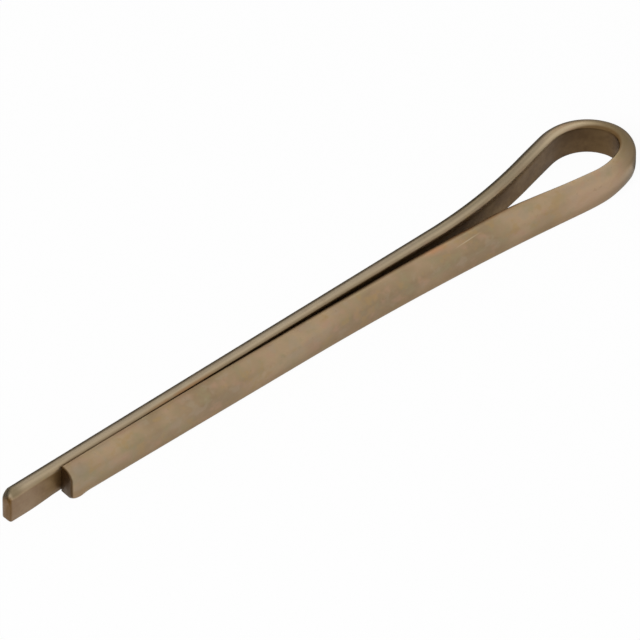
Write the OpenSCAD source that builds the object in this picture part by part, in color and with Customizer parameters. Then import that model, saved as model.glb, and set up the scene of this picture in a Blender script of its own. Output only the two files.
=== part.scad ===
// Cotter pin with one long prong and one short prong, cut square.
// One length of flat-sided wire is folded flat side to flat side: a short prong, a
// teardrop eye and a long prong. The pin lies on its side, so the eye looks up along +Z.
// The shank runs along X with the eye at +X. The origin is the middle of the footprint,
// at the level the pin lies on.

/* [Wire] */
// Height of the wire as it lies, along the fold axis
wire_w = 2.7; // [2.4:0.05:3.0]
// Thickness of the wire, from its flat inner face to its back
wire_t = 1.22; // [1.05:0.01:1.35]
// Radius of the back's upper edge
upper_edge_r = 0.82; // [0.5:0.01:0.9]
// Radius of the back's lower edge
lower_edge_r = 0.35; // [0.2:0.01:0.8]
// Radius of both edges of the flat inner face
inner_edge_r = 0.1; // [0.06:0.01:0.14]

/* [Prongs] */
// Straight length of the short prong, from its cut end to the neck
short_prong_l = 21.1; // [16:0.1:60]
// How far the long prong reaches past the short one
extension = 4.75; // [1.5:0.05:8]
// Angle at which the long prong closes on the short one
closing_angle = 0.97; // [0.97:0.01:1]
// Gap between the flat faces at the short prong's cut end
tip_gap = 0.05; // [0.04:0.01:0.15]
// Radius that the shear leaves on the back's edge of the short prong's cut end
short_cut_r = 0.25; // [0.1:0.01:0.6]
// Radius that the shear leaves on the flat face's edge of the long prong's cut end
long_cut_r = 0.42; // [0.2:0.01:0.44]
// Radius that the shear leaves on the back's edge of the long prong's cut end
long_cut_back_r = 0.75; // [0.2:0.01:0.77]

/* [Neck] */
// Radius of the short side's gentle bend from the shank into the eye
short_neck_r = 239; // [200:1:270]
// Angle at which the short side leaves the shank
short_flare = 6.3; // [5.5:0.1:7]
// Radius of the long side's flank, between the neck and the eye's crown
flank_r = 150; // [100:1:300]
// Angle the wire turns through along the flank
flank_turn = 1.1; // [0.8:0.1:2]
// Angle at which the crown runs out into the flank, measured from the shank
long_flare = 14.2; // [13.2:0.1:15.2]

/* [Eye] */
// Inner radius of the eye's shoulder, on the short side
shoulder_r = 4.68; // [4:0.01:5]
// Angle the wire turns through at the shoulder
shoulder_turn = 30.2; // [26:0.1:34]
// Inner radius of the tight bend at the eye's end
end_bend_r = 1.51; // [1.4:0.01:1.7]
// Angle the wire turns through at the tight bend
end_bend_turn = 90.6; // [86:0.1:95]
// Inner radius of the eye's crown, on the long side
crown_r = 3.19; // [2.9:0.01:3.5]

/* [Hidden] */
$fn = 48;
metal = [0.56, 0.46, 0.34];
// Margin by which a cutting shape runs past what it cuts
past = 0.5;

// A station on the fold is [x, y, heading], on the line of the flat face. The heading is
// that of a walk from the short prong's end, round the eye, to the long prong's end, so
// the wire's back is always on the right. A turn to the left is positive.
function after_run(s, l) = [s.x + l * cos(s.z), s.y + l * sin(s.z), s.z];
function centre_of(s, r) = [s.x - r * sin(s.z), s.y + r * cos(s.z)];
function after_bend(s, r, turn) =
    let (c = centre_of(s, r), h = s.z + turn)
    [c.x + r * sin(h), c.y - r * cos(h), h];

// The stations, in the order of the walk
short_tip = [0, 0, 0];
short_neck = after_run(short_tip, short_prong_l);
shoulder = after_bend(short_neck, -short_neck_r, -short_flare);
end_bend = after_bend(shoulder, shoulder_r, shoulder_turn);
crown = after_bend(end_bend, end_bend_r, end_bend_turn);
crown_turn = 180 + short_flare + long_flare - shoulder_turn - end_bend_turn;
flank = after_bend(crown, crown_r, crown_turn);
long_neck = after_bend(flank, flank_r, flank_turn);

// The long prong's flat face lies on a line through [0, tip_gap], rising toward the eye.
// The long side's neck is the bend that settles onto that line, to a thousandth.
neck_height = (long_neck.y - tip_gap) * cos(closing_angle)
    - long_neck.x * sin(closing_angle);
long_neck_turn = long_flare + flank_turn - closing_angle;
long_neck_r = round(1000 * neck_height / (1 - cos(long_neck_turn))) / 1000;
long_prong = after_bend(long_neck, -long_neck_r, -long_neck_turn);
long_prong_l = round(1000 * (long_prong.x + extension) / cos(closing_angle)) / 1000;
long_tip = after_run(long_prong, long_prong_l);

// The footprint's limits
left = long_tip.x - (wire_t - long_cut_back_r) * sin(closing_angle)
    - long_cut_back_r * (1 - cos(closing_angle));
right = centre_of(end_bend, end_bend_r).x + end_bend_r + wire_t;
front = centre_of(shoulder, shoulder_r).y - shoulder_r - wire_t;
back = centre_of(crown, crown_r).y + crown_r + wire_t;

// Moves to a point in two steps, first to the nearest hundredth and then by the
// remainder. The short numbers lose no digits, so that neighbouring lengths of wire meet
// exactly, face on face.
module at_point(p) {
    near = [round(100 * p.x) / 100, round(100 * p.y) / 100, 0];
    translate(near)
        translate([p.x, p.y, 0] - near)
            children();
}

// What a corner loses when it is rounded to radius r. The corner is at the given point,
// and dir points from it into the section, as [1, -1] for an upper left corner.
module corner_loss(at, dir, r) {
    far = -(r + past) * dir;
    translate(at + r * dir)
        difference() {
            polygon([[0, 0], [far.x, 0], far, [0, far.y]]);
            circle(r = r);
        }
}

// The wire's section: the flat face on x = 0, the back at x = wire_t, y up
module wire_section() {
    half = wire_w / 2;
    difference() {
        translate([0, -half])
            square([wire_t, wire_w]);
        corner_loss([wire_t, half], [-1, -1], upper_edge_r);
        corner_loss([wire_t, -half], [-1, 1], lower_edge_r);
        corner_loss([0, half], [1, -1], inner_edge_r);
        corner_loss([0, -half], [1, 1], inner_edge_r);
    }
}

// Sets what is drawn along Z at a station, with Z along the heading, X to the left of it
// and Y up
module from_station(s) {
    at_point(s)
        rotate([90, 0, s.z + 90])
            children();
}

// A straight length of wire along Z, its flat face on x = 0 and its back at -wire_t
module run(l) {
    linear_extrude(height = l)
        mirror([1, 0])
            wire_section();
}

// A bend that turns left from a station, with the flat face on the inside
module bend_in(s, r, turn) {
    at_point(centre_of(s, r))
        rotate_extrude(angle = turn, start = s.z - 90)
            translate([r, 0])
                wire_section();
}

// A bend that turns right from a station, with the flat face on the outside
module bend_out(s, r, turn) {
    at_point(centre_of(s, -r))
        rotate_extrude(angle = turn, start = s.z + 90 - turn)
            translate([r, 0])
                mirror([1, 0])
                    wire_section();
}

// What the shear takes off an edge of a run's cut end, to leave it with radius r. The edge
// is at the given x and z, and dir points from it into the wire.
module shear_loss(at, dir, r) {
    translate([0, wire_w, 0])
        rotate([90, 0, 0])
            linear_extrude(height = 2 * wire_w)
                corner_loss(at, dir, r);
}

// The short prong, its cut end rounded on the edge of its back
module short_prong() {
    from_station(short_tip)
        difference() {
            run(short_prong_l);
            shear_loss([-wire_t, 0], [1, 1], short_cut_r);
        }
}

// The long prong, its cut end rounded on both edges, and more on the edge of its back
module long_prong() {
    from_station(long_prong)
        difference() {
            run(long_prong_l);
            shear_loss([0, long_prong_l], [-1, -1], long_cut_r);
            shear_loss([-wire_t, long_prong_l], [1, -1], long_cut_back_r);
        }
}

// The wire from the short prong round the eye to the long prong
module eye_and_neck() {
    bend_out(short_neck, short_neck_r, short_flare);
    bend_in(shoulder, shoulder_r, shoulder_turn);
    bend_in(end_bend, end_bend_r, end_bend_turn);
    bend_in(crown, crown_r, crown_turn);
    bend_in(flank, flank_r, flank_turn);
    bend_out(long_neck, long_neck_r, long_neck_turn);
}

module cotter_pin() {
    color(metal)
        translate([-(left + right) / 2, -(front + back) / 2, wire_w / 2])
            union() {
                short_prong();
                eye_and_neck();
                long_prong();
            }
}

cotter_pin();
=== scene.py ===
import math

import bmesh
import bpy
from mathutils import Matrix, Vector

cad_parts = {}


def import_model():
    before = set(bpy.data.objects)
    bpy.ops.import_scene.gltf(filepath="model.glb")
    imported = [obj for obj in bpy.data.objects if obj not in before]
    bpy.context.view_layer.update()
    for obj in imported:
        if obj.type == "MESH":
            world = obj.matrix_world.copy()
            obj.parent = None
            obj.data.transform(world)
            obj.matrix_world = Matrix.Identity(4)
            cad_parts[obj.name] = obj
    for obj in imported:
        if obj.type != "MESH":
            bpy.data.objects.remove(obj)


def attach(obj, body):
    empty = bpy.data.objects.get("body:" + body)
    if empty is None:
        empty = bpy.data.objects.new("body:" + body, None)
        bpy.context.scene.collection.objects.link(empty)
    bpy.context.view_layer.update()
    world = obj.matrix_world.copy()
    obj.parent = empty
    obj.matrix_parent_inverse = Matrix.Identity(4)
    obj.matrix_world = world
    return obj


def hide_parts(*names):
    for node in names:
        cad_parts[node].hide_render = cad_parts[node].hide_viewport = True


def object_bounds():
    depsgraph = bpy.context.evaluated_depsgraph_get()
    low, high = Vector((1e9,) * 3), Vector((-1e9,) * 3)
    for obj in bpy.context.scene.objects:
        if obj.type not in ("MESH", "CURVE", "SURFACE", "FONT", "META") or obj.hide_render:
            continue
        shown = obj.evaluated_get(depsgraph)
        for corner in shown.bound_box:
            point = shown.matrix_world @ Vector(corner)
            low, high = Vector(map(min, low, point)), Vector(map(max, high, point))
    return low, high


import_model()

cad_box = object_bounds()
MM = 0.001

# ---------------------------------------------------------------- sizes of the wire, in mm
WIRE_W = 2.7
WIRE_T = 1.22
UPPER_EDGE_R = 0.82
LOWER_EDGE_R = 0.35
INNER_EDGE_R = 0.1

# ---------------------------------------------------------------- sizes of the fold, in mm and degrees
SHORT_PRONG_L = 21.1
EXTENSION = 4.75
CLOSING_ANGLE = 0.97
TIP_GAP = 0.05
SHORT_NECK_R = 239
SHORT_FLARE = 6.3
SHOULDER_R = 4.68
SHOULDER_TURN = 30.2
END_BEND_R = 1.51
END_BEND_TURN = 90.6
CROWN_R = 3.19
FLANK_R = 150
FLANK_TURN = 1.1
LONG_FLARE = 14.2
CROWN_TURN = 180 + SHORT_FLARE + LONG_FLARE - SHOULDER_TURN - END_BEND_TURN

# Radii that the shear leaves round the cut ends. Each goes with a direction across the
# wire, in degrees from straight up, by way of the back, down and the flat face.
LONG_CUT_BACK_R = 0.75
SHORT_CUT = ((0, 0.08), (30, 0.12), (60, 0.2), (90, 0.25), (115, 0.32), (135, 0.38),
             (155, 0.25), (180, 0.1), (270, 0.05))
LONG_CUT = ((0, 0.6), (22, 0.85), (45, 1.0), (67, 0.9), (90, LONG_CUT_BACK_R), (112, 0.55),
            (135, 0.35), (158, 0.25), (180, 0.2), (225, 0.3), (270, 0.42), (315, 0.5))
CUT_REACH = 1.0
CUT_RINGS = 14

# The shear spreads the flat face at the long tip
SPREAD = 0.1
SPREAD_REACH = 1.6
# It leaves a burr on the back's lower edge at the short tip, which reaches up the back and
# under the wire
BURR = 0.1
BURR_AT = 0.75
BURR_REACH = 0.45
BURR_UP = 0.4
BURR_UNDER = 0.3
# The long tip's lower edge is worn at its flat face, at a distance from the cut
WORN = 0.13
WORN_AT = 4.6
WORN_TO_EYE = 2.5
WORN_TO_TIP = 1.5
WORN_UNDER = 0.3
WORN_UP = 0.35
# and rubbed back a little more at the cut itself
TOE = 0.07
TOE_REACH = 1.2
TOE_AROUND = 0.5

# The short side's flat face stands proud where the neck was pinched, and lies closer to
# the long one along the prongs
SWELL = 0.5
SWELL_AT = 39.2
SWELL_TO_EYE = 4.34
SWELL_TO_TIP = 6.94
MET = 0.25
MET_AT_CUT = 0.09
MET_GAP = 0.012
MET_RISE = 18
MET_FROM = 28
MET_TO = 40

# The upper edge of the flat face is rounder than drawn. It gives way down and into the wire
# by shares of two depths. The shares go with places along the wire, the last of them
# counted back from the long tip, and a greater share also reaches further round.
SOFT_DOWN = 0.29
SOFT_IN = 0.22
SOFT_REACH = 0.1
SOFT_WIDENING = 0.86
SOFT_SHARES = ((0, 0), (10, 0), (20, 0.3), (28, 0.48), (37, 0.48), (43, 0.08), (48, 0.05),
               (50.5, 0.1), (52.6, 0.22), (56, 0.25), (59, 0.5), (62, 0.7), (70, 0.6),
               (80, 0.12))
SOFT_TIP_SHARES = ((-20, 0.12), (-12, 0.2), (-4, 0.4), (-0.6, 0.35), (0, 0.25))
# Where the long side's edge begins to give way into the wire, and over what length
SOFT_LONG_FROM = 56
SOFT_LONG_RISE = 4

# The back's lower edge is flatter where the eye bends most
FLATTENED = 0.2
FLATTENED_AT = 49.2
FLATTENED_REACH = 1.7
FLATTENED_UP = 0.5
FLATTENED_UNDER = 0.4

# Places round the wire, in mm from the flat face's lower edge up over it to the back, and
# to within 0.05 mm: the flat face from foot to head, where the back's upper edge starts,
# the middle of the soft edge, the back from head to foot, and the middle of its lower edge
FLAT_FOOT = INNER_EDGE_R
FLAT_HEAD = FLAT_FOOT + WIRE_W - 1.5 * INNER_EDGE_R
UPPER_EDGE = FLAT_HEAD + INNER_EDGE_R + WIRE_T - UPPER_EDGE_R
SOFT_EDGE = FLAT_HEAD + math.pi / 4 * INNER_EDGE_R
BACK_HEAD = UPPER_EDGE + math.pi / 2 * UPPER_EDGE_R
BACK_FOOT = BACK_HEAD + WIRE_W - UPPER_EDGE_R - LOWER_EDGE_R
LOWER_EDGE = BACK_FOOT + math.pi / 4 * LOWER_EDGE_R

# Spacing of the rings of faces along the wire, in mm, and in degrees of a bend
RING_GAP = 0.3
BEND_STEP = 3.0
# Faces round the section's edges, and cuts across its flat sides
UPPER_EDGE_STEPS = 9
LOWER_EDGE_STEPS = 5
INNER_EDGE_STEPS = 3
FLAT_FACE_CUTS = 12
BACK_CUTS = 4
TOP_CUTS = 2
# How near, in mm, a vertex is to count as at a corner, on a side, in a ring, or as doubled
CORNER_MATCH = 0.01
SIDE_MATCH = 0.001
RING_MATCH = 0.002
WELD = 0.001
# The smallest share of a push that moves a vertex
LEAST_SHARE = 0.002
# The sharpest angle between faces that is still shaded smooth
SMOOTH_ANGLE = 35


# ---------------------------------------------------------------- the line of the fold
class Station:
    """A place on the line of the flat face: x and y in mm, and the heading in degrees.
    The wire's back is on the right of the walk from the short tip to the long tip."""

    def __init__(self, x, y, heading):
        self.x, self.y, self.heading = x, y, heading

    def ahead(self):
        angle = math.radians(self.heading)
        return Vector((math.cos(angle), math.sin(angle), 0))

    def left(self):
        angle = math.radians(self.heading)
        return Vector((-math.sin(angle), math.cos(angle), 0))

    def place(self):
        return Vector((self.x, self.y, 0))

    def centre(self, radius):
        return self.place() + radius * self.left()

    def after_run(self, length):
        end = self.place() + length * self.ahead()
        return Station(end.x, end.y, self.heading)

    def after_bend(self, radius, turn):
        angle = math.radians(turn)
        arm = Matrix.Rotation(angle, 3, "Z") @ (-radius * self.left())
        end = self.centre(radius) + arm
        return Station(end.x, end.y, self.heading + turn)


short_tip = Station(0, 0, 0)
short_neck = short_tip.after_run(SHORT_PRONG_L)
shoulder = short_neck.after_bend(-SHORT_NECK_R, -SHORT_FLARE)
end_bend = shoulder.after_bend(SHOULDER_R, SHOULDER_TURN)
crown = end_bend.after_bend(END_BEND_R, END_BEND_TURN)
flank = crown.after_bend(CROWN_R, CROWN_TURN)
long_neck = flank.after_bend(FLANK_R, FLANK_TURN)

short_side_l = SHORT_PRONG_L + math.radians(SHORT_FLARE) * (SHORT_NECK_R + SHOULDER_R)

closing = math.radians(CLOSING_ANGLE)
neck_height = (long_neck.y - TIP_GAP) * math.cos(closing) - long_neck.x * math.sin(closing)
LONG_NECK_TURN = LONG_FLARE + FLANK_TURN - CLOSING_ANGLE
LONG_NECK_R = neck_height / (1 - math.cos(math.radians(LONG_NECK_TURN)))
long_prong = long_neck.after_bend(-LONG_NECK_R, -LONG_NECK_TURN)
LONG_PRONG_L = (long_prong.x + EXTENSION) / math.cos(closing)
long_tip = long_prong.after_run(LONG_PRONG_L)

# The fold's own corner, which the CAD part's box puts in its place
fold_left = (long_tip.x - (WIRE_T - LONG_CUT_BACK_R) * math.sin(closing)
             - LONG_CUT_BACK_R * (1 - math.cos(closing)))
fold_front = shoulder.centre(SHOULDER_R).y - SHOULDER_R - WIRE_T
fold_corner = Vector((fold_left, fold_front, 0))


def on_part(point):
    """A point of the fold in mm, as a point of the part in metres."""
    return (point - fold_corner) * MM + cad_box[0]


# ---------------------------------------------------------------- edit-mode helpers
def select_where(obj, test):
    """In edit mode, selects the vertices whose place passes the test, and nothing else."""
    mesh = bmesh.from_edit_mesh(obj.data)
    for vert in mesh.verts:
        vert.select = test(vert.co)
    mesh.select_flush_mode()
    bmesh.update_edit_mesh(obj.data)


def select_ring(obj, place, test):
    """Selects the part of the ring at a place along the wire, in mm, whose place in space
    passes the test, and tells whether there is any."""
    mesh = bmesh.from_edit_mesh(obj.data)
    along = mesh.verts.layers.float["along"]
    for vert in mesh.verts:
        vert.select = abs(vert[along] - place) < RING_MATCH and test(vert.co)
    mesh.select_flush_mode()
    found = any(vert.select for vert in mesh.verts)
    bmesh.update_edit_mesh(obj.data)
    return found


class Fold:
    """Draws the wire out of its section: the selected face moves on as the wire grows.
    Each vertex keeps how far along the wire it is, in mm."""

    def __init__(self, obj, start):
        self.obj = obj
        self.at = start
        self.along = 0.0
        self.mark()

    def mark(self):
        """Gives the selected vertices their place along the wire."""
        mesh = bmesh.from_edit_mesh(self.obj.data)
        layer = mesh.verts.layers.float["along"]
        for vert in mesh.verts:
            if vert.select:
                vert[layer] = self.along
        bmesh.update_edit_mesh(self.obj.data)

    def run(self, length):
        """One ring further along a straight."""
        move = length * MM * self.at.ahead()
        bpy.ops.mesh.extrude_region_move(TRANSFORM_OT_translate={"value": move})
        self.at = self.at.after_run(length)
        self.along += length
        self.mark()

    def straight(self, length):
        steps = max(1, round(length / RING_GAP))
        for _ in range(steps):
            self.run(length / steps)

    def bend(self, radius, turn):
        """A bend in equal small turns, to the left where radius and turn are positive. Spin
        counts its angle the other way."""
        outer = abs(radius) + WIRE_T
        steps = max(math.ceil(abs(turn) / BEND_STEP),
                    math.ceil(math.radians(abs(turn)) * outer / RING_GAP))
        centre = on_part(self.at.centre(radius))
        for _ in range(steps):
            bpy.ops.mesh.spin(steps=1, angle=-math.radians(turn / steps),
                              center=centre, axis=(0, 0, 1))
            self.at = self.at.after_bend(radius, turn / steps)
            self.along += math.radians(turn / steps) * radius
            self.mark()


# ---------------------------------------------------------------- the wire
def wire_section():
    """The wire's section as one face across the short prong's cut end, in edit mode."""
    bpy.ops.object.select_all(action="DESELECT")
    middle = on_part(short_tip.place() - WIRE_T / 2 * short_tip.left())
    middle.z += WIRE_W / 2 * MM
    bpy.ops.mesh.primitive_plane_add(size=1, location=middle, rotation=(0, math.radians(90), 0))
    wire = bpy.context.object
    wire.scale = (WIRE_W * MM, WIRE_T * MM, 1)
    bpy.ops.object.transform_apply(location=True, rotation=True, scale=True)
    wire.name = wire.data.name = "bent_wire"
    bpy.ops.object.mode_set(mode="EDIT")
    bpy.context.tool_settings.mesh_select_mode = (True, False, False)

    flat = on_part(short_tip.place()).y
    back = flat - WIRE_T * MM
    under = cad_box[0].z
    top = under + WIRE_W * MM

    def round_corner(corner_y, corner_z, radius, steps):
        near = CORNER_MATCH * MM
        select_where(wire, lambda co: abs(co.y - corner_y) < near and abs(co.z - corner_z) < near)
        bpy.ops.mesh.bevel(offset=radius * MM, segments=steps, affect="VERTICES")

    def split_side(axis, level, cuts):
        select_where(wire, lambda co: abs(co[axis] - level) < SIDE_MATCH * MM)
        bpy.ops.mesh.subdivide(number_cuts=cuts)

    round_corner(back, top, UPPER_EDGE_R, UPPER_EDGE_STEPS)
    round_corner(back, under, LOWER_EDGE_R, LOWER_EDGE_STEPS)
    round_corner(flat, top, INNER_EDGE_R, INNER_EDGE_STEPS)
    round_corner(flat, under, INNER_EDGE_R, INNER_EDGE_STEPS)
    y_axis, z_axis = 1, 2
    split_side(y_axis, flat, FLAT_FACE_CUTS)
    split_side(y_axis, back, BACK_CUTS)
    split_side(z_axis, top, TOP_CUTS)
    return wire


def mark_around(wire):
    """Gives each vertex of the section its distance round the wire, in mm, on a walk from
    the flat face's foot up over it to the back."""
    mesh = bmesh.from_edit_mesh(wire.data)
    mesh.verts.layers.float.new("along")
    layer = mesh.verts.layers.float.new("around")
    mesh.verts.ensure_lookup_table()
    mesh.faces.ensure_lookup_table()
    face = mesh.faces[0]
    under = min(item.vert.co.z for item in face.loops)
    lowest = [item for item in face.loops if item.vert.co.z < under + SIDE_MATCH * MM]
    loop = max(lowest, key=lambda item: item.vert.co.y)
    backwards = loop.link_loop_next.vert.co.y < loop.vert.co.y
    travelled = 0.0
    for _ in range(len(face.verts)):
        loop.vert[layer] = travelled
        following = loop.link_loop_prev if backwards else loop.link_loop_next
        travelled += (following.vert.co - loop.vert.co).length / MM
        loop = following
    bmesh.update_edit_mesh(wire.data)


def cut_depths():
    """Distances of the cut ends' rings from the cut, closer together towards it."""
    return [CUT_REACH * (1 - math.cos(math.pi / 2 * step / CUT_RINGS))
            for step in range(CUT_RINGS + 1)]


def set_back(radius, depth):
    """How far a round of that radius stands back from its edge, at a depth below the cut."""
    rest = max(0, radius - depth)
    return radius - math.sqrt(radius ** 2 - rest ** 2)


def section_reach(back, up):
    """How far the section reaches, in mm from the flat face's foot, in the direction that
    has these parts towards the back and up."""
    rounds = ((WIRE_T - UPPER_EDGE_R, WIRE_W - UPPER_EDGE_R, UPPER_EDGE_R),
              (WIRE_T - LOWER_EDGE_R, LOWER_EDGE_R, LOWER_EDGE_R),
              (INNER_EDGE_R, WIRE_W - INNER_EDGE_R, INNER_EDGE_R),
              (INNER_EDGE_R, INNER_EDGE_R, INNER_EDGE_R))
    return max(back * deep + up * high + radius for deep, high, radius in rounds)


def round_cut(wire, tip, place, step, radii):
    """Rounds the cut end at a place along the wire, by pressing each ring near it in from
    all round. step is +1 where the walk along the wire leads away from the cut, and -1
    where it leads to it."""
    for depth in cut_depths():
        station = tip.after_run(step * depth)
        foot = on_part(station.place())
        turn = Matrix.Rotation(math.radians(station.heading), 3, "Z")
        for angle, radius in radii:
            back, up = math.sin(math.radians(angle)), math.cos(math.radians(angle))
            toward = up * Vector((0, 0, 1)) - back * station.left()
            limit = (section_reach(back, up) - set_back(radius, depth)) * MM
            found = select_ring(wire, place + step * depth,
                                lambda co: (co - foot).dot(toward) > limit)
            if depth < radius and found:
                tilt = turn @ Matrix.Rotation(math.radians(90 + angle), 3, "X")
                bpy.ops.transform.resize(
                    value=(1, 0, 1), center_override=foot + limit * toward,
                    orient_type="GLOBAL", orient_matrix_type="GLOBAL", orient_matrix=tilt)


def bent_wire():
    """The whole pin: one wire from the short prong round the eye to the long prong."""
    wire = wire_section()
    mark_around(wire)
    bpy.ops.mesh.select_all(action="SELECT")
    fold = Fold(wire, short_tip)
    depths = cut_depths()
    gaps = [deeper - depth for depth, deeper in zip(depths, depths[1:])]
    for gap in gaps:
        fold.run(gap)
    fold.straight(SHORT_PRONG_L - CUT_REACH)
    fold.bend(-SHORT_NECK_R, -SHORT_FLARE)
    fold.bend(SHOULDER_R, SHOULDER_TURN)
    fold.bend(END_BEND_R, END_BEND_TURN)
    fold.bend(CROWN_R, CROWN_TURN)
    fold.bend(FLANK_R, FLANK_TURN)
    fold.bend(-LONG_NECK_R, -LONG_NECK_TURN)
    fold.straight(LONG_PRONG_L - CUT_REACH)
    for gap in reversed(gaps):
        fold.run(gap)

    round_cut(wire, short_tip, 0, 1, SHORT_CUT)
    round_cut(wire, long_tip, fold.along, -1, LONG_CUT)
    bpy.ops.mesh.select_all(action="SELECT")
    bpy.ops.mesh.remove_doubles(threshold=WELD * MM)
    bpy.ops.mesh.normals_make_consistent(inside=False)
    bpy.ops.object.mode_set(mode="OBJECT")
    return wire


def push(wire, name, depth, direction, share):
    """Moves the wire's surface by a depth in mm, along an axis or along its normals. The
    depth is multiplied by a share that depends on the place of each vertex, on how far
    along the wire it is and on how far round it."""
    along = [item.value for item in wire.data.attributes["along"].data]
    around = [item.value for item in wire.data.attributes["around"].data]
    group = wire.vertex_groups.new(name=name)
    for vert, place, turn in zip(wire.data.vertices, along, around):
        weight = share(vert.co, place, turn)
        if weight > LEAST_SHARE:
            group.add([vert.index], min(1, weight), "REPLACE")
    displace = wire.modifiers.new(name, "DISPLACE")
    displace.direction = direction
    displace.vertex_group = group.name
    displace.mid_level = 0
    displace.strength = depth * MM
    bpy.context.view_layer.objects.active = wire
    bpy.ops.object.modifier_apply(modifier=displace.name)
    wire.vertex_groups.remove(wire.vertex_groups[name])


def hump(offset, before, after=None):
    """A smooth hump of height 1, with its reach before and after its middle."""
    reach = before if after is None or offset <= 0 else after
    return math.exp(-(offset / reach) ** 2)


def held(value):
    """A value held between 0 and 1."""
    return min(1, max(0, value))


def across(co, place):
    """1 on the short side's flat face, and less and less towards its back."""
    past_prong = max(0, place - SHORT_PRONG_L)
    line = Vector((0, -past_prong ** 2 / (2 * SHORT_NECK_R), 0))
    depth = (on_part(line).y - co.y) / (WIRE_T * MM)
    return held(1 - depth)


def pinched(co, place, turn):
    """Where the short side's flat face stands proud: all of it on the flat face, less and
    less towards the back."""
    if place > short_side_l:
        return 0
    return hump(place - SWELL_AT, SWELL_TO_TIP, SWELL_TO_EYE) * across(co, place)


def met(co, place, turn):
    """Where the short prong's flat face is fuller than its line, towards the long prong."""
    if place > MET_TO:
        return 0
    gap = TIP_GAP + math.tan(closing) * place
    rest = held((MET_TO - place) / (MET_TO - MET_FROM))
    fill = MET * (1 - hump(place, MET_RISE)) + MET_AT_CUT
    share = min(gap - MET_GAP, fill) / (MET + MET_AT_CUT)
    return share * rest ** 2 * (3 - 2 * rest) * across(co, place)


def softened(end):
    """How much rounder the flat face's upper edge is, on a wire of a length."""
    stops = SOFT_SHARES + tuple((end + place, share) for place, share in SOFT_TIP_SHARES)

    def share_at(co, place, turn):
        for (low, first), (high, last) in zip(stops, stops[1:]):
            if low <= place <= high:
                share = first + (last - first) * (place - low) / (high - low)
                reach = SOFT_REACH + SOFT_WIDENING * share
                return share * max(0, 1 - abs(turn - SOFT_EDGE) / reach) ** 2
        return 0
    return share_at


def flattened(co, place, turn):
    """Where the back's lower edge gives way round the tightest bend."""
    return (hump(place - FLATTENED_AT, FLATTENED_REACH)
            * hump(turn - LOWER_EDGE, FLATTENED_UP, FLATTENED_UNDER))


def soften_edge(wire, end):
    """Rounds the flat face's upper edge: down everywhere, and into the wire on each side.
    Each push has one direction, so that the surface can't fold through itself."""
    share = softened(end)

    def short_share(co, place, turn):
        return share(co, place, turn) if place < short_side_l else 0

    def long_share(co, place, turn):
        return share(co, place, turn) * held((place - SOFT_LONG_FROM) / SOFT_LONG_RISE)

    push(wire, "soft_down", -SOFT_DOWN, "Z", share)
    push(wire, "soft_short", -SOFT_IN, "Y", short_share)
    push(wire, "soft_long", SOFT_IN, "Y", long_share)


def shear_marks(wire, end):
    """What the shear pushed out: the flat face at the long tip, and the back's lower edge
    beside the short prong's end. The long tip's lower edge is worn at its flat face."""
    def spread(co, place, turn):
        if place <= end - 3 * SPREAD_REACH or not FLAT_FOOT < turn < FLAT_HEAD:
            return 0
        return hump(min(0, place - end + CUT_REACH / 2), SPREAD_REACH)

    def burr(co, place, turn):
        if place >= 3 * BURR_AT:
            return 0
        return hump(place - BURR_AT, BURR_REACH) * hump(turn - LOWER_EDGE, BURR_UP, BURR_UNDER)

    def worn(co, place, turn):
        if turn >= FLAT_HEAD:
            return 0
        return (hump(place - end + WORN_AT, WORN_TO_EYE, WORN_TO_TIP)
                * hump(turn - FLAT_FOOT, WORN_UNDER, WORN_UP))

    def toe(co, place, turn):
        if turn >= FLAT_HEAD:
            return 0
        return (hump(min(0, place - end + TOE_REACH / 2), TOE_REACH)
                * hump(turn - FLAT_FOOT, TOE_AROUND))

    push(wire, "spread", -SPREAD, "Y", spread)
    push(wire, "burr", -BURR, "Y", burr)
    push(wire, "worn", WORN, "Y", worn)
    push(wire, "toe", TOE, "Y", toe)


def work_wire(wire, end):
    """Gives the wire's surface the marks of bending, shearing and wear, and shades it
    smooth."""
    push(wire, "pinch", SWELL, "Y", pinched)
    push(wire, "met", MET + MET_AT_CUT, "Y", met)
    soften_edge(wire, end)
    push(wire, "flat", -FLATTENED, "NORMAL", flattened)
    shear_marks(wire, end)
    bpy.ops.object.select_all(action="DESELECT")
    wire.select_set(True)
    bpy.context.view_layer.objects.active = wire
    bpy.ops.object.shade_smooth_by_angle(angle=math.radians(SMOOTH_ANGLE))


# ---------------------------------------------------------------- finishes
WHITE = (1, 1, 1, 1)

# The metal's roughness before anything varies it, and the depth of its relief in mm
ROUGHNESS = 0.4
RELIEF_DEPTH = 0.02
RELIEF_STRENGTH = 0.6
# How much the marks of drawing vary along the wire, for what they vary round it
DRAWN_OUT = 0.08

# Shares of plain white in what the floor shows to the camera and to a reflection
PAPER_TO_CAMERA = 0.95
PAPER_TO_REFLECTION = 0.3
PAPER_SHADE = 0.85
# The sky's brightness where it is seen, also in a reflection, and as a light
SKY_SEEN = 0.94
SKY_LIGHT = 0.3


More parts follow.
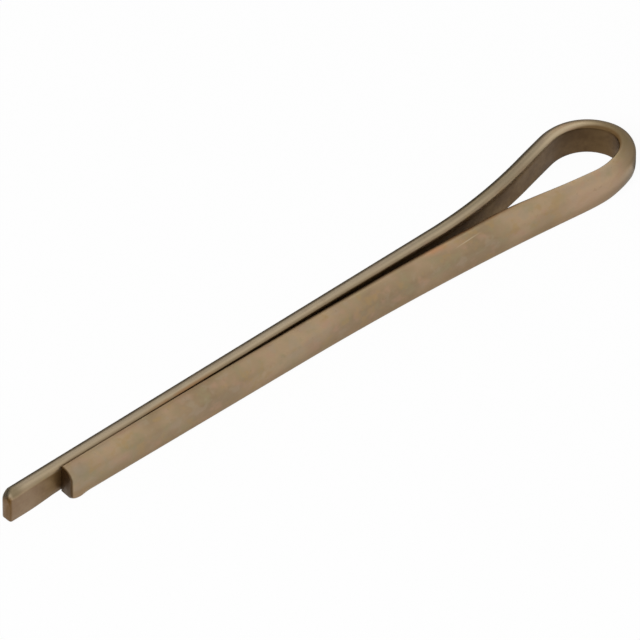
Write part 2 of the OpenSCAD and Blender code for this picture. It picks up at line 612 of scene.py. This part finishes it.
class Shade:
    """A socket's value that varies over a surface. Arithmetic on it adds Math nodes."""

    def __init__(self, finish, socket):
        self.finish, self.socket = finish, socket

    def __add__(self, other):
        return self.finish.maths("ADD", self, other)

    __radd__ = __add__

    def __sub__(self, other):
        return self.finish.maths("SUBTRACT", self, other)

    def __rsub__(self, other):
        return self.finish.maths("SUBTRACT", other, self)

    def __mul__(self, other):
        return self.finish.maths("MULTIPLY", self, other)

    __rmul__ = __mul__

    def rising(self, low, high, start=0.0, end=1.0):
        """Goes smoothly from start, where this value is low, to end, where it is high."""
        values = {"Value": self, "From Min": low, "From Max": high,
                  "To Min": start, "To Max": end}
        settings = {"interpolation_type": "SMOOTHSTEP"}
        return self.finish.add("MapRange", settings, values, "Result")

    def about(self, middle, reach):
        """1 where this value is at the middle, and 0 past the reach on either side."""
        return self.finish.maths("ABSOLUTE", self - middle).rising(reach, 0)


class Finish:
    """The nodes of a material or a world."""

    def __init__(self, owner):
        owner.use_nodes = True
        self.tree = owner.node_tree
        self.tree.nodes.clear()

    def add(self, kind, settings=None, values=None, out=0):
        """Adds a node of a kind with its settings, then its sockets' values or links."""
        node = self.tree.nodes.new("ShaderNode" + kind)
        for name, value in (settings or {}).items():
            setattr(node, name, value)
        for name, value in (values or {}).items():
            socket = self.find(node.inputs, name)
            if isinstance(value, Shade):
                self.tree.links.new(value.socket, socket)
            else:
                socket.default_value = value
        return Shade(self, self.find(node.outputs, out))

    @staticmethod
    def find(sockets, name):
        """A socket by its number, its name, or the identifier that tells it from others of
        that name."""
        if isinstance(name, int):
            return sockets[name]
        return next(item for item in sockets if name in (item.identifier, item.name))

    def maths(self, operation, *values):
        return self.add("Math", {"operation": operation}, dict(enumerate(values)))

    def noise(self, place, scale, detail=2.0, roughness=0.5):
        values = {"Vector": place, "Scale": scale, "Detail": detail, "Roughness": roughness}
        return self.add("TexNoise", {"normalize": True}, values, "Fac")

    def shifted(self, place, step):
        """A place moved by a step, so that a noise there is another one."""
        return self.add("VectorMath", {"operation": "ADD"}, {0: place, 1: (step, step, step)})

    def mix(self, share, first, second):
        values = {"Factor_Float": share, "A_Color": first, "B_Color": second}
        settings = {"data_type": "RGBA", "clamp_factor": True}
        return self.add("Mix", settings, values, "Result_Color")

    def put_out(self, shader, kind="OutputMaterial"):
        output = self.tree.nodes.new("ShaderNode" + kind)
        self.tree.links.new(shader.socket, output.inputs["Surface"])


def rgb(red, green, blue):
    """A colour written as on a screen, 0 to 255, as the linear colour a shader takes."""
    def linear(level):
        share = level / 255
        return share / 12.92 if share <= 0.04045 else ((share + 0.055) / 1.055) ** 2.4
    return (linear(red), linear(green), linear(blue), 1)


class WireSkin:
    """The colour of a drawn wire, laid on coat by coat. along and around are how far along
    the wire and how far round it a place is, in mm, and end is the wire's length. Masks are
    1 about a middle, with a reach to either side, or rise from one place to another."""

    def __init__(self, finish, end):
        self.finish, self.end = finish, end
        self.place = finish.add("TexCoord", out="Object")
        self.along = finish.add("Attribute", {"attribute_name": "along"}, out="Fac")
        self.around = finish.add("Attribute", {"attribute_name": "around"}, out="Fac")
        self.drawn = finish.add("CombineXYZ", values={"X": self.along * DRAWN_OUT,
                                                      "Y": self.around})
        self.tint = finish.noise(self.place, scale=820, detail=2.5, roughness=0.6)
        self.eye_end = self.along.about(52.2, 4.2)
        self.colour = rgb(171, 147, 117)

    def coat(self, mask, *colour):
        """Lays a colour on where the mask is 1."""
        self.colour = self.finish.mix(mask, self.colour, rgb(*colour))

    def clouding(self):
        """Large dull clouds, and smaller ones of pink, olive, gold and grey."""
        cloud = self.finish.noise(self.place, scale=230)
        self.coat(cloud.rising(0.36, 0.64), 149, 128, 100)
        self.coat(self.tint.rising(0.49, 0.74) * 0.8, 173, 142, 117)
        self.coat(self.tint.rising(0.51, 0.26) * 0.75, 150, 137, 105)
        gold = self.finish.noise(self.finish.shifted(self.place, 0.07), scale=900, detail=2.5,
                                 roughness=0.6)
        self.coat(gold.rising(0.54, 0.68) * 0.6, 164, 137, 96)
        self.coat(gold.rising(0.46, 0.34) * 0.5, 162, 144, 121)

    def back_of_wire(self):
        """A pink shoulder, lighter as painted light, and painted shade on the back's lower part."""
        along, around = self.along, self.around
        # A pink tone on the shoulder, made lighter than the wire as painted light
        lit_pink_shoulder = along.about(46.5, 4.5) * around.rising(UPPER_EDGE, BACK_HEAD)
        self.coat(lit_pink_shoulder * 0.55, 188, 158, 132)
        # Painted shade on the back's lower part all along, broken into the drawing streaks
        streaks = self.finish.noise(self.drawn, scale=1.4).rising(0.35, 0.6, 0.6, 1)
        shaded_foot = around.rising(BACK_FOOT - 1.2, BACK_FOOT + 0.15) * streaks
        self.coat(shaded_foot * 0.8, 140, 116, 84)

    def eye(self):
        """Oxide and painted shade on the eye's end, and grey and shaded tops on the long side."""
        along, around = self.along, self.around
        # Oxide on the eye's end, made darker still as painted shade
        oxide_and_shade = along.about(51.8, 4) * around.rising(FLAT_HEAD, UPPER_EDGE)
        self.coat(oxide_and_shade * 0.85, 136, 117, 86)
        # Painted shade on the back at the eye's end
        shaded_end_back = along.about(50.2, 4.2) * around.rising(BACK_HEAD + 0.2, BACK_HEAD + 1)
        self.coat(shaded_end_back * 0.7, 117, 98, 68)
        # Darker along the flat face's upper rim at the eye's end
        dark_end_rim = along.about(51.3, 3) * around.about(FLAT_HEAD + 0.35, 0.6)
        self.coat(dark_end_rim * 0.7, 104, 89, 62)
        # Lighter along the upper edge at the eye's end
        light_end_band = along.about(50.8, 2.6) * around.about(UPPER_EDGE + 1.1, 0.7)
        self.coat(light_end_band * 0.6, 184, 158, 122)
        # Greyer on the long side's top past the eye's end, and greyer and darker at its neck
        grey_top = along.rising(55, 58) * around.about(UPPER_EDGE + 0.1, 1)
        self.coat(grey_top * 0.75, 145, 134, 115)
        grey_neck = along.about(62, 12) * around.about(UPPER_EDGE - 0.1, 0.6)
        self.coat(grey_neck * 0.4, 126, 113, 90)
        # Painted shade on the long side's upper edge and back, most at its neck
        shaded_neck = along.about(64, 9) * around.rising(UPPER_EDGE - 0.1, UPPER_EDGE + 0.25)
        darker_top = along.rising(54, 57) * around.rising(UPPER_EDGE, UPPER_EDGE + 0.45)
        self.coat(shaded_neck * 0.55 + darker_top * 0.5, 118, 103, 78)

    def flat_face(self):
        """Brown on the flat face, partly its own colour and partly painted shade, which stops lower
        at the tips and at the neck, and comes up onto the top at the eye's end. Returns its mask."""
        along, end, mix = self.along, self.end, self.finish.mix
        near_tips = along.rising(18, 6) + along.rising(end - 22, end - 12)
        lower = near_tips * 0.2 + along.about(66, 12) * 0.4
        mask = (self.around + lower - self.eye_end * 0.36).rising(
            FLAT_HEAD + 0.1, FLAT_HEAD - 0.14)
        blots = self.finish.noise(self.place, scale=700, detail=3, roughness=0.6)
        blots = blots.rising(0.35, 0.65)
        brown = mix(blots, rgb(110, 84, 50), rgb(126, 100, 62))
        dark_brown = mix(blots, rgb(93, 72, 48), rgb(107, 85, 58))
        lit_open_face = mix(blots, rgb(140, 115, 89), rgb(149, 126, 99))
        # Darker inside the eye, partly as painted shade
        brown = mix(along.about(55, 7), brown, dark_brown)
        # Painted light: lighter near the long tip, where the flat face lies open
        brown = mix(along.rising(end - 4.4, end - 1.6), brown, lit_open_face)
        self.colour = mix(mask, self.colour, brown)
        return mask

    def painted_highlight_edge(self):
        """A painted highlight along the long side's upper edge, brightest at the eye. Returns
        its mask."""
        along = self.along
        mask = (self.around - self.eye_end * 0.3).about(FLAT_HEAD + 0.26, 0.28)
        mask = mask * along.rising(52.5, 54.5)
        brightest, fainter = along.about(55.8, 2.6), along.about(61.5, 4.5)
        mask = mask * (0.6 + brightest * 0.5 - fainter * 0.4)
        self.coat(mask, 186, 168, 139)
        return mask

    def seam(self):
        """Painted shade and an orange lip on both sides of the gap between the prongs, and one
        stain on the short side."""
        along, around, end = self.along, self.around, self.end
        # Painted shade where the flat faces' edges meet the gap between the prongs
        at_edge = around.rising(FLAT_HEAD - 0.35, FLAT_HEAD)
        short_side = around.rising(FLAT_HEAD + 0.7, FLAT_HEAD + 0.1) * along.rising(46, 40)
        long_side = around.rising(FLAT_HEAD + 0.4, FLAT_HEAD + 0.05)
        long_side = long_side * along.rising(end - 40, end - 28) * along.rising(end - 4, end - 6)
        self.coat((short_side * 0.5 + long_side * 0.6) * at_edge, 116, 98, 72)
        # Deeper painted shade along the short prong's edge at the gap
        fringe = around.rising(FLAT_HEAD + 0.5, FLAT_HEAD + 0.05) * at_edge
        fringe = fringe * along.rising(4, 26) * along.rising(42, 36)
        self.coat(fringe * 0.7, 98, 74, 44)
        lip = around.about(FLAT_HEAD + 0.12, 0.3)
        lip = lip * self.finish.noise(self.place, scale=500).rising(0.3, 0.55)
        self.coat(lip * along.about(36, 9) * 0.85, 132, 90, 50)
        self.coat(lip * along.about(end - 16, 5) * 0.5, 156, 108, 62)
        stain = along.about(33.6, 1.5) * around.about(FLAT_HEAD + 0.45, 0.35)
        self.coat(stain * 0.5, 186, 128, 84)

    def tips(self):
        """Dark cut faces, the short one partly painted shade, a darker patch and a painted
        highlight at the long tip, and a pale corner at the short one."""
        along, around, end = self.along, self.around, self.end
        # The short tip's cut face: its sheared colour, darkened further as painted shade of the corner
        # it faces
        self.coat(along.rising(0.16, 0.04), 84, 63, 36)
        self.coat(along.rising(end - 0.3, end - 0.08), 118, 88, 50)
        off_the_cut = along.rising(end - 0.2, end - 0.5)
        darker_top = around.rising(FLAT_HEAD - 0.3, FLAT_HEAD)
        darker_top = darker_top * around.rising(UPPER_EDGE + 0.8, UPPER_EDGE + 0.2)
        # A darker patch on the long tip's top
        darker_tip_patch = off_the_cut * along.rising(end - 1.8, end - 0.7) * darker_top
        self.coat(darker_tip_patch * 0.75, 122, 108, 82)
        # A painted highlight on the long tip's upper edge
        painted_tip_highlight = off_the_cut * along.rising(end - 1.4, end - 0.7)
        painted_tip_highlight = painted_tip_highlight * around.about(UPPER_EDGE + 0.85, 0.75)
        self.coat(painted_tip_highlight * 0.8, 222, 203, 168)
        pale_corner = along.about(0.9, 1.1) * around.about(UPPER_EDGE + 0.6, 1.1)
        self.coat(pale_corner * 0.6, 152, 139, 119)

    def specks_and_scratch(self):
        """Fine dark specks all over, and one fine scratch aslant the back at the neck."""
        specks = self.finish.noise(self.place, scale=3200, detail=1)
        self.coat(specks.rising(0.68, 0.8) * 0.18, 118, 98, 72)
        middle = 36.1
        aslant = self.around + (self.along - middle) * 0.07
        scratch = self.along.about(middle, 1.5) * aslant.about(BACK_HEAD - 0.95, 0.045)
        self.coat(scratch * 0.6, 200, 184, 158)


def dull_bronze(end):
    """Drawn wire with a dull tan skin, clouded pink, olive and gold. end is the wire's
    length in mm."""
    material = bpy.data.materials.new("dull_bronze")
    finish = Finish(material)
    skin = WireSkin(finish, end)
    skin.clouding()
    skin.back_of_wire()
    skin.eye()
    inner = skin.flat_face()
    highlight_and_polish = skin.painted_highlight_edge()
    skin.seam()
    skin.tips()
    skin.specks_and_scratch()

    lines = finish.noise(skin.drawn, scale=9)
    uneven = (skin.tint - 0.5) * 0.25 + (lines - 0.5) * 0.1
    # The painted highlight's mask also makes that edge a little smoother
    roughness = ROUGHNESS + uneven + inner * 0.06 - highlight_and_polish * 0.08
    waves = finish.noise(skin.place, scale=260)
    bump = finish.add("Bump", values={
        "Height": lines * 0.4 + skin.tint + waves * 3,
        "Distance": RELIEF_DEPTH * MM, "Strength": RELIEF_STRENGTH})
    finish.put_out(finish.add("BsdfPrincipled", values={
        "Base Color": skin.colour, "Metallic": 1.0, "Roughness": roughness, "Normal": bump}))
    return material


def white_paper():
    """A pale floor that reads as white paper and keeps a soft shadow."""
    material = bpy.data.materials.new("studio_floor")
    finish = Finish(material)
    camera_ray = finish.add("LightPath", out="Is Camera Ray")
    glossy_ray = finish.add("LightPath", out="Is Glossy Ray")
    through_ray = finish.add("LightPath", out="Is Transmission Ray")
    reflected = finish.maths("MAXIMUM", glossy_ray, through_ray)
    share = camera_ray * PAPER_TO_CAMERA + reflected * PAPER_TO_REFLECTION
    grey = (PAPER_SHADE, PAPER_SHADE, PAPER_SHADE, 1)
    paper = finish.add("BsdfDiffuse", values={"Color": grey})
    white = finish.add("Emission", values={"Color": WHITE, "Strength": 1})
    finish.put_out(finish.add("MixShader", values={0: share, 1: paper, 2: white}))
    return material


def grey_card(name, shade, glowing):
    """A plain grey, which gives off its shade by itself where it is glowing."""
    material = bpy.data.materials.new(name)
    finish = Finish(material)
    kind = "Emission" if glowing else "BsdfDiffuse"
    finish.put_out(finish.add(kind, values={"Color": (shade, shade, shade, 1)}))
    return material


# ---------------------------------------------------------------- studio, in metres
FLOOR_SIZE = 3
CARD_LIFT = 0.02 * MM

# Grey cards out of the camera's sight, each between two corners on the floor. They give the
# metal its darker sides. Three lie behind and beside the pin, one of them lifted over
# another, and the two that have a height stand further off.
CARDS = (
    {"name": "card_behind", "shade": 0.12, "low": (-0.1, 0.0036), "high": (0.0285, 0.1)},
    {"name": "card_right_behind", "shade": 0.35, "low": (0.0285, -0.0005), "high": (0.1, 0.1)},
    {"name": "card_right_beside", "shade": 0.35, "low": (0.0272, -0.0017),
     "high": (0.06, 0.04), "turn": -45, "lift": 1.5 * CARD_LIFT},
    {"name": "card_far", "shade": 0.1, "low": (-0.1, 0.1), "high": (0.1, 0.1), "height": 0.03},
    {"name": "card_right", "shade": 0.62, "low": (0.1, 0.1), "high": (0.1, -0.06),
     "height": 0.08},
)

# Square soft lights. A brightness of 1 is white.
LIGHTS = (
    {"name": "key", "place": (-0.65, -0.25, 0.75), "size": 0.5, "brightness": 12,
     "in_reflections": False},
    {"name": "back_light", "place": (0.42, 0.7, 0.54), "size": 0.4, "brightness": 0.6,
     "in_reflections": True},
)


def floor():
    bpy.ops.object.select_all(action="DESELECT")
    bpy.ops.mesh.primitive_plane_add(size=FLOOR_SIZE, location=(0, 0, cad_box[0].z))
    ground = bpy.context.object
    ground.name = "studio_floor"
    ground.data.materials.append(white_paper())


def studio_card(name, shade, low, high, height=0.0, turn=0.0, lift=CARD_LIFT):
    """A grey card between two corners, lifted a little off the floor. With a height it
    stands on the line between them and glows. A turn, in degrees, is about its low corner."""
    bpy.ops.object.select_all(action="DESELECT")
    corner = Vector((low[0], low[1], cad_box[0].z + lift))
    diagonal = Vector((high[0] - low[0], high[1] - low[1], height))
    centre = corner + Matrix.Rotation(math.radians(turn), 3, "Z") @ diagonal / 2
    bpy.ops.mesh.primitive_plane_add(size=1, location=centre)
    card = bpy.context.object
    card.name = name
    if height:
        card.rotation_euler = (math.radians(90), 0, math.atan2(diagonal.y, diagonal.x))
        card.scale = (math.dist(low, high), height, 1)
    else:
        card.rotation_euler = (0, 0, math.radians(turn))
        card.scale = (diagonal.x, diagonal.y, 1)
    bpy.ops.object.transform_apply(location=True, rotation=True, scale=True)
    card.data.materials.append(grey_card(name, shade, glowing=height > 0))
    card.visible_camera = False
    card.visible_diffuse = False
    card.visible_shadow = False


def world():
    """Nearly white to the camera and to reflections, and a soft light to everything else."""
    sky = bpy.data.worlds.new("studio")
    finish = Finish(sky)
    camera_ray = finish.add("LightPath", out="Is Camera Ray")
    glossy_ray = finish.add("LightPath", out="Is Glossy Ray")
    seen = finish.maths("MAXIMUM", camera_ray, glossy_ray)
    light = finish.add("Background", values={"Color": WHITE, "Strength": SKY_LIGHT})
    white = finish.add("Background", values={"Color": WHITE, "Strength": SKY_SEEN})
    both = finish.add("MixShader", values={0: seen, 1: light, 2: white})
    finish.put_out(both, "OutputWorld")
    bpy.context.scene.world = sky


def softbox(name, place, size, brightness, in_reflections):
    """A square soft light that looks at the part."""
    lamp = bpy.data.lights.new(name, "AREA")
    lamp.shape = "SQUARE"
    lamp.size = size
    lamp.energy = brightness * math.pi * size ** 2
    holder = bpy.data.objects.new(name, lamp)
    holder.location = place
    holder.rotation_euler = (-Vector(place)).to_track_quat("-Z", "Y").to_euler()
    holder.visible_glossy = in_reflections
    bpy.context.scene.collection.objects.link(holder)


# ---------------------------------------------------------------- camera
# Its angles in degrees, and its distance, the point it looks at and the width it frames, in
# mm of the fold
CAMERA_TURN = -38.57
CAMERA_HEIGHT = 48.02
CAMERA_DISTANCE = 1500
LOOKS_AT = Vector((23.742, 0.453, WIRE_W / 2))
FRAME_WIDTH = 45.58
SENSOR_WIDTH = 36
# The nearest and the farthest that it sees, in metres
NEAREST = 0.05
FARTHEST = 20


def camera():
    turn, height = math.radians(CAMERA_TURN), math.radians(CAMERA_HEIGHT)
    toward = Vector((math.sin(turn) * math.cos(height), -math.cos(turn) * math.cos(height),
                     math.sin(height)))
    lens = bpy.data.cameras.new("camera")
    lens.sensor_width = SENSOR_WIDTH
    lens.lens = SENSOR_WIDTH * CAMERA_DISTANCE / FRAME_WIDTH
    lens.clip_start, lens.clip_end = NEAREST, FARTHEST
    holder = bpy.data.objects.new("camera", lens)
    holder.location = on_part(LOOKS_AT + CAMERA_DISTANCE * toward)
    holder.rotation_euler = toward.to_track_quat("Z", "Y").to_euler()
    bpy.context.scene.collection.objects.link(holder)
    bpy.context.scene.camera = holder


# ---------------------------------------------------------------- the scene
camera()
pin = bent_wire()
wire_l = max(item.value for item in pin.data.attributes["along"].data)
work_wire(pin, wire_l)
pin.data.materials.append(dull_bronze(wire_l))
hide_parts("cotter_pin")
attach(pin, "root")

floor()
world()
for card in CARDS:
    studio_card(**card)
for light in LIGHTS:
    softbox(**light)
bpy.context.scene.view_settings.view_transform = "Standard"
